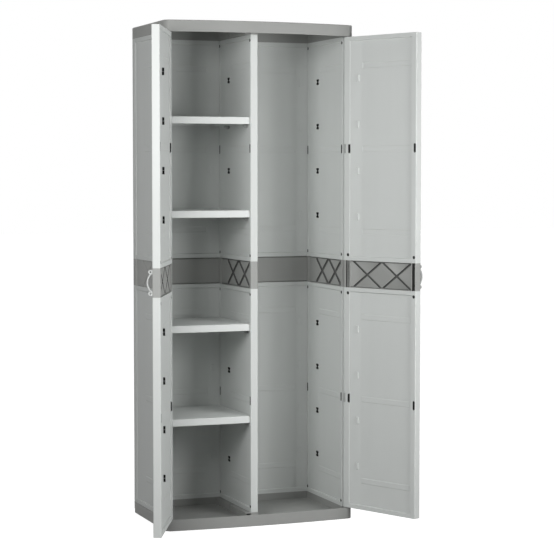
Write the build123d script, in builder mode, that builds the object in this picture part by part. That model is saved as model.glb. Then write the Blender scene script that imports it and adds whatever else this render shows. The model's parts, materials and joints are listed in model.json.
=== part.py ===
"""Upright two-door storage cabinet of moulded plastic, built as it is assembled.

Millimetres, +Z up, front towards -Y. The origin is on the floor under the middle of the lid.
Both doors stand open, as on a cabinet that is shown in use.
"""
import os
from dataclasses import dataclass
from math import atan2, degrees, hypot

from build123d import *

os.makedirs("parts", exist_ok=True)

# Whole cabinet
cabinet_width = 700.0
cabinet_height = 1760.0
side_depth = 400.0
lid_bow = 40.0
base_bow = 17.0
corner_radius = 20.0

# Lid and base trays
rim_height = 40.0
skirt_wall = 4.0
deck_thickness = 3.0
floor_clearance = 12.0
lid_edge_round = 3.0
underside_rib = 4.0
underside_rib_pitch = 110.0
rail_ledge_width = 20.0
rail_ledge_thickness = 3.0
comb_rib = 3.0
comb_pitch = 30.0
comb_rear_gap = 22.0
comb_count = 6

# Panels
panel_thickness = 27.0
wall_side_gap = 2.0
back_gap = 3.0
wall_setback = 32.0
divider_centre_x = -13.0
back_seam = 1.0
border_width = 14.0
border_corner = 5.0
field_recess = 2.5
stile_recess = 1.2
skin = 1.5
end_skin = 2.5
edge_wall = 3.5
edge_round = 3.0
web = 1.5
cell_count = 4
swage_height = 20.0
swage_depth = 0.7
swage_spread = 292.0
swage_count = 3
swage_margin = 8.0

# Joining bands
band_height = 96.0
band_recess = 4.0
band_skin = 3.0
band_cell_count = 3
band_post = 12.0
trellis_rib = 8.0
trellis_depth = 1.8
wall_trellis_count = 2
door_trellis_count = 2
groove_width = 10.0
groove_depth = 12.0
groove_inset = 6.0

# Tongues that locate one piece in the next
tongue_width = 40.0
tongue_length = 32.0
tongue_clearance = 0.3

# Shelf slots and shelves
slot_first = 155.0
slot_pitch = 163.0
slot_count = 4
slot_radius = 4.0
slot_spread = 6.0
slot_neck = 4.0
wall_slot_inset = 92.0
back_slot_inset = 52.0
door_slot_inset = 58.0
slot_stile_margin = 14.0
hood_width = 10.0
hood_height = 26.0
hood_wall = 1.2
door_hood_rise = 6.5
back_hood_rise = 2.5
front_peg_inset = 48.0
shelf_thickness = 24.5
shelf_skin = 2.5
shelf_side_gap = 0.7
shelf_setback = 18.0
shelf_back_gap = 2.0
shelf_round = 2.0
shelf_rib_depth = 14.0
shelf_rib_count = 3
clip_width = 12.0
clip_height = 12.0
clip_reach = 16.0
peg_clearance = 0.1
peg_grip = 5.0

# Doors, hinges and pivots
door_opening = 114.0
hinge_gap = 4.0
door_gap = 3.0
door_rise = 1.5
barrel_solid = 8.0
pivot_radius = 5.0
pivot_length = 20.0
pivot_flange_radius = 8.0
pivot_boss_wall = 4.0
running_clearance = 0.06
pivot_end_gap = 0.3
hinge_clip_height = 30.0
hinge_clip_gap = 2.0
hinge_clip_radius = 12.5
hinge_notch_radius = 14.0
hinge_clip_mouth = 7.4
hinge_arm = 5.0
hinge_arm_grip = 16.0
hinge_barb = 2.0
hinge_barb_length = 6.0
hinge_slot_clearance = 0.2
border_slot_width = 7.0
border_slot_height = 32.0
hinge_border_slot_x = 19.0

# Handles
handle_span = 72.0
handle_rise = 24.0
handle_bar = 8.0
handle_width = 10.0
ear_radius = 7.0
ear_offset = 38.0
padlock_hole_radius = 3.2
handle_screw_offset = 30.5
handle_screw_grip = 7.0

# Screws
screw_inset = 20.0
screw_edge = 7.0
hinge_screw_edge = 15.0
screw_head_radius = 3.5
screw_head_height = 2.2
screw_radius = 1.8
screw_length = 14.0
screw_head_clearance = 0.5
screw_seat_depth = 2.6
screw_hole_clearance = 0.2
pilot_clearance = 0.05

# Worked out from the sizes above
half_thickness = panel_thickness / 2
hollow = panel_thickness - 2 * (field_recess + skin)
back_y = (side_depth + lid_bow) / 2
front_y = back_y - side_depth
wall_x = cabinet_width / 2 - wall_side_gap - half_thickness
wall_front_y = front_y + wall_setback
back_centre_y = back_y - back_gap - half_thickness
back_face_y = back_centre_y - half_thickness
wall_width = back_face_y - wall_front_y
wall_centre_y = (back_face_y + wall_front_y) / 2
back_width = wall_x + half_thickness - back_seam / 2
back_centre_x = (back_width + back_seam) / 2
wall_foot = rim_height
wall_head = cabinet_height - rim_height
door_foot = wall_foot + door_rise
door_head = wall_head - door_rise
band_foot = (cabinet_height - band_height) / 2
band_head = band_foot + band_height
hinge_y = wall_front_y - hinge_gap - half_thickness
door_reach = wall_x - door_gap / 2
hinge_levels = [(wall_foot + band_foot) / 2, (band_head + wall_head) / 2]
lower_slots = [wall_foot + slot_first + slot_pitch * step for step in range(slot_count)]
upper_slots = [band_head + slot_first + slot_pitch * step for step in range(slot_count)]
shelf_levels = [lower_slots[1], lower_slots[3], upper_slots[0], upper_slots[2]]


@dataclass
class Column:
    """One upright column of two panels and a band. Local x runs across it, local z up."""

    name: str
    plane: Plane
    near: float
    far: float
    inner: int
    slot_x: float
    foot: float
    head: float
    trellis_count: int
    hood_rise: float = 0.0
    hood_way: int = 0
    hinged: bool = False

    @property
    def cell_start(self):
        return barrel_solid if self.hinged else self.near + edge_wall

    @property
    def cell_end(self):
        return self.far - edge_wall

    @property
    def cell_width(self):
        return (self.cell_end - self.cell_start - (cell_count - 1) * web) / cell_count

    @property
    def cell_centres(self):
        first = self.cell_start + self.cell_width / 2
        return [(first + step * (self.cell_width + web), 0) for step in range(cell_count)]

    @property
    def tongue_centres(self):
        inset = tongue_clearance + tongue_width / 2
        return [(self.cell_start + inset, 0), (self.cell_end - inset, 0)]

    @property
    def screw_xs(self):
        near_edge = hinge_screw_edge if self.hinged else self.near + screw_edge
        return [near_edge, self.far - screw_edge]

    @property
    def border_xs(self):
        near_edge = hinge_border_slot_x if self.hinged else self.near + border_width / 2
        return [near_edge, self.far - border_width / 2]

    @property
    def halves(self):
        return {"lower": (self.foot, band_foot), "upper": (band_head, self.head)}

    def face(self, x, z, side, depth=0.0):
        """Plane on one face of the column, sunk by depth, its y axis up and its normal outwards."""
        origin = self.plane.from_local_coords((x, side * (half_thickness - depth), z))
        return Plane(origin, x_dir=self.plane.x_dir * -side, z_dir=self.plane.y_dir * side)

    def mid(self, z):
        """Level plane across the column at a height."""
        return self.plane.offset(z)

    def screw_seats(self, foot, head, depth):
        """Planes of the screws in one half panel: at both ends of a wall, at the band end of a door."""
        levels = [foot + screw_inset, head - screw_inset]
        if self.hinged:
            levels = levels[1:] if head == band_foot else levels[:1]
        return [self.face(x, level, self.inner, depth) for x in self.screw_xs for level in levels]


def upright(x, y, x_dir):
    return Plane((x, y, 0), x_dir=x_dir, z_dir=(0, 0, 1))


rearwards = (0, 1, 0)
rightwards = (1, 0, 0)
left_door_dir = Vector(1, 0, 0).rotate(Axis.Z, -door_opening)
right_door_dir = Vector(-1, 0, 0).rotate(Axis.Z, door_opening)
wall_slot_x = wall_width / 2 - wall_slot_inset
back_slot_x = back_width / 2 - back_slot_inset

left_wall = Column("left_wall", upright(-wall_x, wall_centre_y, rearwards), -wall_width / 2,
                   wall_width / 2, -1, wall_slot_x, wall_foot, wall_head, wall_trellis_count)
right_wall = Column("right_wall", upright(wall_x, wall_centre_y, rearwards), -wall_width / 2,
                    wall_width / 2, 1, wall_slot_x, wall_foot, wall_head, wall_trellis_count)
divider = Column("divider", upright(divider_centre_x, wall_centre_y, rearwards), -wall_width / 2,
                 wall_width / 2, 1, wall_slot_x, wall_foot, wall_head, wall_trellis_count)
back_left = Column("back_left", upright(-back_centre_x, back_centre_y, rightwards), -back_width / 2,
                   back_width / 2, -1, back_slot_x, wall_foot, wall_head, 0, back_hood_rise)
back_right = Column("back_right", upright(back_centre_x, back_centre_y, rightwards), -back_width / 2,
                    back_width / 2, -1, back_slot_x, wall_foot, wall_head, 0, back_hood_rise)
left_door = Column("left_door", upright(-wall_x, hinge_y, left_door_dir), -half_thickness, door_reach,
                   1, door_reach - door_slot_inset, door_foot, door_head, door_trellis_count,
                   door_hood_rise, 1, True)
right_door = Column("right_door", upright(wall_x, hinge_y, right_door_dir), -half_thickness, door_reach,
                    -1, door_slot_inset, door_foot, door_head, door_trellis_count,
                    door_hood_rise, -1, True)

fixed_columns = [left_wall, right_wall, divider, back_left, back_right]
doors = [left_door, right_door]
hinge_walls = {"left_wall": -wall_x, "right_wall": wall_x}
shelf_walls = [left_wall, divider]


def write(part, label):
    part.label = label
    export_step(part, f"parts/{label}.step")


def draw_section(column):
    """Outer outline of a column in plan: rounded at its free edges, half-round at a hinge."""
    if column.hinged:
        Circle(half_thickness)
        with Locations((column.far / 2, 0)):
            Rectangle(column.far, panel_thickness)
        fillet(BuildSketch._get_context().vertices().group_by(Axis.X)[-1], radius=edge_round)
    else:
        with Locations(((column.near + column.far) / 2, 0)):
            RectangleRounded(column.far - column.near, panel_thickness, edge_round)


def draw_plan(bow, inset):
    """Outline of the lid or base in plan: straight sides and back, bowed front, rounded corners."""
    side = cabinet_width / 2 - inset
    rear = back_y - inset
    front = front_y + inset
    with BuildLine() as outline:
        Polyline((side, front), (side, rear), (-side, rear), (-side, front))
        ThreePointArc((-side, front), (0, front - bow), (side, front))
    make_face(outline.edges())
    fillet(BuildSketch._get_context().vertices(), radius=corner_radius - inset)


def add_hoods(column, levels):
    """Bosses in a row up the stile. On a door each is a hood with two pockets that open to one side."""
    rise = column.hood_rise
    pocket_height = (hood_height - 3 * hood_wall) / 2
    pocket_y = column.inner * (half_thickness - stile_recess + (rise - hood_wall) / 2)
    with BuildSketch(column.face(0, 0, column.inner, stile_recess)) as outline:
        with Locations(*[(-column.inner * column.slot_x, level) for level in levels]):
            RectangleRounded(hood_width, hood_height, hood_width / 3)
    extrude(outline.sketch, amount=rise)
    if column.hood_way:
        for level in levels:
            for offset in (-1, 1):
                pocket_z = level + offset * (pocket_height + hood_wall) / 2
                centre = Location((column.slot_x + column.hood_way * hood_wall, pocket_y, pocket_z))
                with Locations(Location(column.plane) * centre):
                    Box(hood_width, rise - hood_wall, pocket_height, mode=Mode.SUBTRACT)


def half_panel(column, foot, head):
    """One moulded half panel: hollow cells, raised borders, swages, shelf slots or hoods, screw seats.

    The swages are sunk on the inner face of an upper panel and raised on every other face.
    """
    upper = foot == band_head
    height = head - foot
    middle = (foot + head) / 2
    cell_foot = foot + end_skin if column.hinged and not upper else foot
    cell_head = head - end_skin if column.hinged and upper else head
    inner = column.inner
    border_start = column.cell_start + border_width if column.hinged else column.near + border_width
    border_end = column.far - border_width
    slot_near_end = column.slot_x < (column.near + column.far) / 2
    split = column.slot_x + slot_stile_margin if slot_near_end else column.slot_x - slot_stile_margin
    field_span = (split, border_end) if slot_near_end else (border_start, split)
    field_middle = sum(field_span) / 2
    field_width = field_span[1] - field_span[0]
    slots = [level for level in lower_slots + upper_slots if foot < level < head]
    shelf_pegs = [level for level in shelf_levels if foot < level < head] if column in shelf_walls else []
    hinge_level = hinge_levels[1] if upper else hinge_levels[0]
    wall_depth = half_thickness - hollow / 2

    with BuildPart() as panel:
        with BuildSketch(column.mid(foot)):
            draw_section(column)
        extrude(amount=height)
        with BuildSketch(column.mid(cell_foot)):
            with Locations(*column.cell_centres):
                Rectangle(column.cell_width, hollow)
        extrude(amount=cell_head - cell_foot, mode=Mode.SUBTRACT)
        for side in (1, -1):
            with BuildSketch(column.face((border_start + border_end) / 2, middle, side)):
                RectangleRounded(border_end - border_start, height - 2 * border_width, border_corner)
            extrude(amount=-stile_recess, mode=Mode.SUBTRACT)
            with BuildSketch(column.face(field_middle, middle, side)):
                RectangleRounded(field_width, height - 2 * border_width, border_corner)
            extrude(amount=-field_recess, mode=Mode.SUBTRACT)
            with BuildSketch(column.face(field_middle, middle, side, field_recess)):
                with GridLocations(0, swage_spread, 1, swage_count):
                    RectangleRounded(field_width - 2 * swage_margin, swage_height, swage_height / 4)
            sunk = upper and side == inner
            extrude(amount=-swage_depth if sunk else swage_depth, mode=Mode.SUBTRACT if sunk else Mode.ADD)
        if column.hood_rise:
            add_hoods(column, slots)
        with BuildSketch(column.face(0, 0, inner)):
            for level in [] if column.hood_rise else slots:
                with Locations((-inner * column.slot_x, level)):
                    Rectangle(slot_neck, 2 * slot_spread)
                    with GridLocations(0, 2 * slot_spread, 1, 2):
                        Circle(slot_radius)
            for level in shelf_pegs:
                with Locations((-inner * (column.near + front_peg_inset), level - slot_spread)):
                    Circle(slot_radius)
            for x in column.border_xs:
                with Locations((-inner * x, hinge_level)):
                    SlotOverall(border_slot_height, border_slot_width, rotation=90)
        extrude(amount=-wall_depth, mode=Mode.SUBTRACT)
        with Locations(*column.screw_seats(foot, head, 0)):
            CounterBoreHole(screw_radius + screw_hole_clearance, screw_head_radius + screw_head_clearance,
                            screw_seat_depth, wall_depth)
        if column.name in hinge_walls:
            with BuildSketch(column.mid(hinge_level - hinge_clip_height / 2 - hinge_slot_clearance)):
                with Locations((column.near + edge_wall / 2, 0)):
                    Rectangle(edge_wall, hinge_arm + 2 * hinge_slot_clearance)
            extrude(amount=hinge_clip_height + 2 * hinge_slot_clearance, mode=Mode.SUBTRACT)
        if column.hinged:
            notch = hinge_clip_height + 2 * hinge_clip_gap
            with BuildSketch(column.mid(hinge_level - notch / 2)):
                Circle(hinge_notch_radius)
                Circle(pivot_radius, mode=Mode.SUBTRACT)
            extrude(amount=notch, mode=Mode.SUBTRACT)
            bore_foot = head - pivot_length if upper else foot
            with BuildSketch(column.mid(bore_foot)):
                Circle(pivot_radius + running_clearance)
            extrude(amount=pivot_length, mode=Mode.SUBTRACT)
    return panel.part


def add_tongues(column, level, length):
    """Blocks that reach from a level into the end cells of the next panel."""
    with BuildSketch(column.mid(level)) as blocks:
        with Locations(*column.tongue_centres):
            Rectangle(tongue_width, hollow - 2 * tongue_clearance)
    extrude(blocks.sketch, amount=length)


def drill_pilots(column, *levels):
    """Pilot holes that the panel screws cut their thread in, one in each tongue."""
    places = [(x, level) for x in column.screw_xs for level in levels]
    with Locations(*[column.face(x, level, column.inner, screw_seat_depth) for x, level in places]):
        Hole(screw_radius + pilot_clearance, screw_length)


def draw_trellis(count, width):
    """Crossed diagonal strips, clipped to the face of a band."""
    period = width / count
    tilt = degrees(atan2(band_height, period))
    for step in range(count):
        for turn in (tilt, -tilt):
            with Locations(((step - (count - 1) / 2) * period, 0)):
                Rectangle(hypot(period, band_height) + 2 * trellis_rib, trellis_rib, rotation=turn)
    Rectangle(width, band_height, mode=Mode.INTERSECT)


def band(column):
    """Dark band between two panels, with tongues up and down. Its trellis is sunk inside, raised outside."""
    middle = (band_foot + band_head) / 2
    face_start = column.cell_start + groove_width if column.hinged else column.near + band_post
    face_end = column.far - band_post - (groove_inset if column.hinged else 0)
    face_width = face_end - face_start
    face_middle = (face_start + face_end) / 2
    core_start = column.cell_start + tongue_clearance + tongue_width + band_skin
    core_end = column.cell_end - tongue_clearance - tongue_width - band_skin
    core_middle = (core_start + core_end) / 2
    core_cell = (core_end - core_start - (band_cell_count - 1) * band_skin) / band_cell_count
    with BuildPart() as piece:
        with BuildSketch(column.mid(band_foot)):
            draw_section(column)
            with Locations((core_middle, 0)):
                with GridLocations(core_cell + band_skin, 0, band_cell_count, 1):
                    Rectangle(core_cell, panel_thickness - 2 * (band_recess + band_skin), mode=Mode.SUBTRACT)
        extrude(amount=band_height)
        for side in (1, -1):
            with BuildSketch(column.face(face_middle, middle, side)):
                Rectangle(face_width, band_height)
            extrude(amount=-band_recess, mode=Mode.SUBTRACT)
            if column.trellis_count:
                with BuildSketch(column.face(face_middle, middle, side, band_recess)):
                    draw_trellis(column.trellis_count, face_width)
                sunk = side == column.inner
                extrude(amount=-trellis_depth if sunk else trellis_depth,
                        mode=Mode.SUBTRACT if sunk else Mode.ADD)
        if column.hinged:
            groove_x = column.far - groove_inset - groove_width / 2
            with BuildSketch(column.face(groove_x, middle, column.inner)):
                Rectangle(groove_width, band_height)
            extrude(amount=-groove_depth, mode=Mode.SUBTRACT)
            for offset in (-handle_screw_offset, handle_screw_offset):
                with Locations(column.face(groove_x, middle + offset, column.inner, groove_depth)):
                    Hole(screw_radius + screw_hole_clearance, panel_thickness)
        add_tongues(column, band_foot, -tongue_length)
        add_tongues(column, band_head, tongue_length)
        drill_pilots(column, band_foot - screw_inset, band_head + screw_inset)
    return piece.part


def tray(outer_z, up, bow, deck_gap, edge_radius):
    """Lid or base. up is 1 where the tray opens upwards; heights count from its outer face."""
    deck_top = deck_gap + deck_thickness
    channel_wall = edge_wall + tongue_clearance
    rise = up * (rim_height - deck_top)
    ledge_x = divider_centre_x - half_thickness - rail_ledge_width / 2
    comb_rear = back_face_y - comb_rear_gap
    comb_front = comb_rear - comb_pitch * (comb_count - 1)
    ledge_length = comb_front - wall_front_y
    with BuildPart() as piece:
        with BuildSketch(Plane.XY.offset(outer_z)):
            draw_plan(bow, 0)
        extrude(amount=up * rim_height)
        if edge_radius:
            fillet(piece.faces().sort_by(Axis.Z)[-1].edges(), radius=edge_radius)
        with BuildSketch(Plane.XY.offset(outer_z + up * deck_top)):
            draw_plan(bow, skirt_wall)
        extrude(amount=rise, mode=Mode.SUBTRACT)
        if deck_gap:
            with BuildSketch(Plane.XY.offset(outer_z)):
                draw_plan(bow, skirt_wall)
                rib_columns = int(cabinet_width / 2 / underside_rib_pitch)
                for step in range(-rib_columns, rib_columns + 1):
                    with Locations((step * underside_rib_pitch, 0)):
                        Rectangle(underside_rib, 2 * cabinet_width, mode=Mode.SUBTRACT)
                rib_rows = int(side_depth / 2 / underside_rib_pitch)
                for step in range(-rib_rows, rib_rows + 1):
                    with Locations((0, step * underside_rib_pitch)):
                        Rectangle(2 * cabinet_width, underside_rib, mode=Mode.SUBTRACT)
            extrude(amount=up * deck_gap, mode=Mode.SUBTRACT)
        for column in fixed_columns:
            width = column.far - column.near
            with BuildSketch(column.mid(outer_z + up * deck_top)):
                RectangleRounded(width, panel_thickness, edge_round)
                Rectangle(width - 2 * channel_wall, panel_thickness - 2 * channel_wall, mode=Mode.SUBTRACT)
            extrude(amount=rise)
            add_tongues(column, outer_z + up * deck_top, rise + up * tongue_length)
            drill_pilots(column, outer_z + up * (rim_height + screw_inset))
        with Locations((ledge_x, wall_front_y + ledge_length / 2,
                        outer_z + up * (rim_height - rail_ledge_thickness / 2))):
            Box(rail_ledge_width, ledge_length, rail_ledge_thickness)
        with Locations((ledge_x - rail_ledge_width / 2 + rail_ledge_thickness / 2,
                        wall_front_y + ledge_length / 2, outer_z + up * deck_top + rise / 2)):
            Box(rail_ledge_thickness, ledge_length, abs(rise))
        with Locations((ledge_x, (comb_front + comb_rear) / 2, outer_z + up * deck_top + rise / 2)):
            with GridLocations(0, comb_pitch, 1, comb_count):
                Box(rail_ledge_width, comb_rib, abs(rise))
        with BuildSketch(Plane.XY.offset(outer_z + up * deck_top)):
            with Locations((-wall_x, hinge_y), (wall_x, hinge_y)):
                Circle(pivot_radius + pivot_boss_wall)
        extrude(amount=rise)
        with BuildSketch(Plane.XY.offset(outer_z + up * rim_height)):
            with Locations((-wall_x, hinge_y), (wall_x, hinge_y)):
                Circle(pivot_radius + running_clearance)
        extrude(amount=-up * pivot_length, mode=Mode.SUBTRACT)
    return piece.part


def pivots(seat_z, up, flange):
    """Stub pins in the lid or base that the doors turn on, with a flange between the two."""
    reach = pivot_length - pivot_end_gap
    with BuildPart() as pins:
        with BuildSketch(Plane.XY.offset(seat_z - up * reach)):
            with Locations((-wall_x, hinge_y), (wall_x, hinge_y)):
                Circle(pivot_radius)
        extrude(amount=up * (2 * reach + door_rise))
        with BuildSketch(Plane.XY.offset(seat_z)):
            with Locations((-wall_x, hinge_y), (wall_x, hinge_y)):
                Circle(pivot_flange_radius)
        extrude(amount=up * flange)
    return pins.part


def hinge_clips(axis_x):
    """Snap clips in a side wall's front edge, each gripping the pin in the door's notch."""
    arm_end = wall_front_y + hinge_arm_grip
    barb_y = wall_front_y + edge_wall + hinge_slot_clearance + hinge_barb_length / 2
    with BuildPart() as clips:
        for level in hinge_levels:
            with BuildSketch(Plane.XY.offset(level - hinge_clip_height / 2)):
                with Locations((axis_x, hinge_y)):
                    Circle(hinge_clip_radius)
                with Locations((axis_x, (hinge_y + arm_end) / 2)):
                    Rectangle(hinge_arm, arm_end - hinge_y)
                with Locations((axis_x, barb_y)):
                    Rectangle(hinge_arm + 2 * hinge_barb, hinge_barb_length)
                with Locations((axis_x, hinge_y)):
                    Circle(pivot_radius + running_clearance, mode=Mode.SUBTRACT)
                with Locations((axis_x, hinge_y - hinge_clip_radius / 2)):
                    Rectangle(hinge_clip_mouth, hinge_clip_radius, mode=Mode.SUBTRACT)
            extrude(amount=hinge_clip_height)
    return clips.part


def shelf(level):
    """Skirted shelf, ribbed underneath, between the left wall and the divider."""
    left = -wall_x + half_thickness + shelf_side_gap
    right = divider_centre_x - half_thickness - shelf_side_gap
    front = wall_front_y + shelf_setback
    rear = back_face_y - shelf_back_gap
    width = right - left
    depth = rear - front
    centre = ((left + right) / 2, (front + rear) / 2)
    rib_z = level + shelf_thickness - shelf_skin - shelf_rib_depth / 2
    with BuildPart() as board:
        with BuildSketch(Plane.XY.offset(level)):
            with Locations(centre):
                RectangleRounded(width, depth, edge_round)
        extrude(amount=shelf_thickness)
        fillet(board.faces().sort_by(Axis.Z)[-1].edges(), radius=shelf_round)
        with BuildSketch(Plane.XY.offset(level)):
            with Locations(centre):
                Rectangle(width - 2 * skirt_wall, depth - 2 * skirt_wall)
        extrude(amount=shelf_thickness - shelf_skin, mode=Mode.SUBTRACT)
        with Locations((*centre, rib_z)):
            with GridLocations(width / (shelf_rib_count + 1), 0, shelf_rib_count, 1):
                Box(web, depth - skirt_wall, shelf_rib_depth)
            with GridLocations(0, depth / (shelf_rib_count + 1), 1, shelf_rib_count):
                Box(width - skirt_wall, web, shelf_rib_depth)
    return board.part


def shelf_clips():
    """Pegged ledges under the corners of the shelves, in the slots of the left wall and divider."""
    with BuildPart() as clips:
        for column in shelf_walls:
            seats = {column.slot_x: stile_recess, column.near + front_peg_inset: field_recess}
            for level in shelf_levels:
                for x, recess in seats.items():
                    seat = column.face(x, level, column.inner, recess)
                    with BuildSketch(seat):
                        with Locations((0, -clip_height / 2)):
                            Rectangle(clip_width, clip_height)
                    extrude(amount=clip_reach)
                    with BuildSketch(seat):
                        with Locations((0, -slot_spread)):
                            Circle(slot_radius - peg_clearance)
                    extrude(amount=-(half_thickness - recess - hollow / 2 + peg_grip))
    return clips.part


def add_screw(seat, length):
    """Pan-head screw whose head sits on a plane and whose shank runs into it."""
    with BuildSketch(seat) as head:
        Circle(screw_head_radius)
    extrude(head.sketch, amount=screw_head_height)
    with BuildSketch(seat) as shank:
        Circle(screw_radius)
    extrude(shank.sketch, amount=-length)


def panel_screws(columns):
    """Screws through the borders of some columns into the tongues behind them."""
    with BuildPart() as screws:
        for column in columns:
            for foot, head in column.halves.values():
                for seat in column.screw_seats(foot, head, screw_seat_depth):
                    add_screw(seat, screw_length)
    return screws.part


def handle_plane(column):
    """Upright plane through a handle, square to the door, its x axis up and its y axis outwards."""
    x = column.far - groove_inset - groove_width / 2
    middle = (band_foot + band_head) / 2
    origin = column.plane.from_local_coords((x, -column.inner * half_thickness, middle))
    outward = column.plane.y_dir * -column.inner
    return Plane(origin, x_dir=(0, 0, 1), z_dir=Vector(0, 0, 1).cross(outward))


def handle(column):
    """Bow pull with an ear for a padlock at each end, seated on the outer face of the door's band."""
    centre = handle_plane(column)
    outer_end = handle_span / 2
    inner_end = outer_end - handle_bar
    with BuildPart() as pull:
        with BuildSketch(centre):
            with BuildLine():
                ThreePointArc((-outer_end, 0), (0, handle_rise), (outer_end, 0))
                Line((outer_end, 0), (inner_end, 0))
                ThreePointArc((inner_end, 0), (0, handle_rise - handle_bar), (-inner_end, 0))
                Line((-inner_end, 0), (-outer_end, 0))
            make_face()
            with Locations((-ear_offset, ear_radius), (ear_offset, ear_radius)):
                Circle(ear_radius)
            with Locations((-ear_offset, ear_radius / 2), (ear_offset, ear_radius / 2)):
                Rectangle(2 * ear_radius, ear_radius)
            with Locations((-ear_offset, ear_radius), (ear_offset, ear_radius)):
                Circle(padlock_hole_radius, mode=Mode.SUBTRACT)
        extrude(amount=handle_width / 2, both=True)
        for offset in (-handle_screw_offset, handle_screw_offset):
            foot = Plane(centre.from_local_coords((offset, 0, 0)), z_dir=centre.y_dir * -1)
            with Locations(foot):
                Hole(screw_radius + pilot_clearance, handle_screw_grip + pilot_clearance)
    return pull.part


def handle_screws(column):
    x = column.far - groove_inset - groove_width / 2
    middle = (band_foot + band_head) / 2
    with BuildPart() as screws:
        for offset in (-handle_screw_offset, handle_screw_offset):
            seat = column.face(x, middle + offset, column.inner, groove_depth)
            add_screw(seat, panel_thickness - groove_depth + handle_screw_grip)
    return screws.part


# Lid, base and pivots
write(tray(0, 1, base_bow, floor_clearance, 0), "base_tray")
write(tray(cabinet_height, -1, lid_bow, 0, lid_edge_round), "top_cap")
write(pivots(wall_foot, 1, door_rise), "bottom_pivots")
write(pivots(wall_head, -1, door_rise - pivot_end_gap), "top_pivots")

# Walls, divider, back and doors
for column in fixed_columns + doors:
    for half, (foot, head) in column.halves.items():
        write(half_panel(column, foot, head), f"{column.name}_{half}")
    write(band(column), f"{column.name}_band")

# Hinge clips
for wall, axis_x in hinge_walls.items():
    write(hinge_clips(axis_x), wall.replace("wall", "hinge_clips"))

# Shelves, counted from the bottom
for number, level in enumerate(shelf_levels, start=1):
    write(shelf(level), f"shelf_{number}")
write(shelf_clips(), "shelf_clips")

# Handles and fasteners
for door in doors:
    side_name = door.name.replace("_door", "")
    write(handle(door), f"{side_name}_handle")
    write(handle_screws(door), f"{side_name}_handle_screws")
    write(panel_screws([door]), f"{door.name}_screws")
for column in (left_wall, right_wall, divider):
    write(panel_screws([column]), f"{column.name}_screws")
write(panel_screws([back_left, back_right]), "back_screws")
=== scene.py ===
"""Upright two-door storage cabinet of moulded plastic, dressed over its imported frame.

Metres, +Z up, front towards -Y. Walls, divider, back and doors are columns of two half panels and a
dark band. A column's pieces are modelled flat, x across it, y through it and z up, and then put in place.
"""
import json
from contextlib import contextmanager
from dataclasses import dataclass
from math import atan2, hypot, pi, radians

import bmesh
import bpy
from mathutils import Matrix, Vector


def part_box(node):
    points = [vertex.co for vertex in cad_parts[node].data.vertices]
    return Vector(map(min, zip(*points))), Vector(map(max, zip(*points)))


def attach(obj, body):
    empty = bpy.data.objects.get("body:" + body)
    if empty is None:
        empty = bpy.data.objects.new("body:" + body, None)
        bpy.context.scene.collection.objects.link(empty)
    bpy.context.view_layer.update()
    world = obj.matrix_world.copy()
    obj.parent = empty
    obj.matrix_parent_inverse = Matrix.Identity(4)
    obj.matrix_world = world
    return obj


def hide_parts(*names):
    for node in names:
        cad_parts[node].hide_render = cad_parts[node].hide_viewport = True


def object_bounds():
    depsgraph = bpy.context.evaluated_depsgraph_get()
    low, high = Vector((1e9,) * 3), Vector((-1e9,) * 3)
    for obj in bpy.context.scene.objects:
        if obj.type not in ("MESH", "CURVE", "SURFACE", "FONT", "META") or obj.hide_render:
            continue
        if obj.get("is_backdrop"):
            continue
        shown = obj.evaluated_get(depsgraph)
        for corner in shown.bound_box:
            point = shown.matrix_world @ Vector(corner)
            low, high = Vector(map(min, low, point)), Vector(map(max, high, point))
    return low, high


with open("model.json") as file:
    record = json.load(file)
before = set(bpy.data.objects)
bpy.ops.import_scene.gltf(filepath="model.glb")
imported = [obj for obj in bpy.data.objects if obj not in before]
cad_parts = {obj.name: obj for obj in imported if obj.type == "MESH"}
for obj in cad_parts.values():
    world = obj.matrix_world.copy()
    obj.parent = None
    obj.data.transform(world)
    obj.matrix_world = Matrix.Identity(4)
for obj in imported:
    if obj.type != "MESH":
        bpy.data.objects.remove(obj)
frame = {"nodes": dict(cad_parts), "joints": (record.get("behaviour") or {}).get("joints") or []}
cad_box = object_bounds()

# Unit, a tool's reach past its piece, and what counts as the same place, as facing one way and as sharp
mm = 0.001
overlap = 1 * mm
near_enough = 0.1 * mm
mostly = 0.9
sharp_angle = radians(32)
smooth_angle = radians(31)
screw_smooth_angle = radians(40)
rod_sides = 24
soft_steps = 3

# Lid and base
rim_height = 40 * mm
side_depth = 400 * mm
lid_bow = 40 * mm
base_bow = 17 * mm
corner_radius = 20 * mm
corner_steps = 8
lid_edge_round = 3 * mm
base_edge_round = 1.5 * mm
rim_steps = 3
skirt_wall = 4 * mm
deck_thickness = 3 * mm
floor_clearance = 12 * mm
underside_rib = 4 * mm
underside_rib_lift = 1 * mm
underside_bays = (6, 4)
front_cuts = 31
ledge_width = 20 * mm
ledge_thickness = 3 * mm
comb_rib = 3 * mm
comb_pitch = 30 * mm
comb_rear_gap = 22 * mm
comb_count = 6
pivot_boss_radius = 9 * mm
boss_sides = 32

# Panels
border_width = 14 * mm
door_edge_border = 20 * mm
hinge_solid = 8 * mm
stile_recess = 1.6 * mm
field_recess = 5.5 * mm
recess_slope = 1 * mm
stile_ledge = 5 * mm
edge_round = 3 * mm
edge_steps = 4
hinge_edge_share = 0.999
hinge_edge_steps = 10
edge_soft = 0.7 * mm
panel_edge_soft = 0.4 * mm
swage_height = 20 * mm
swage_inside = (1.2 * mm, 1.5 * mm)
swage_outside = (1.4 * mm, 2.2 * mm)
swage_spread = 292 * mm
swage_count = 3
swage_margin = 8 * mm

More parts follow.
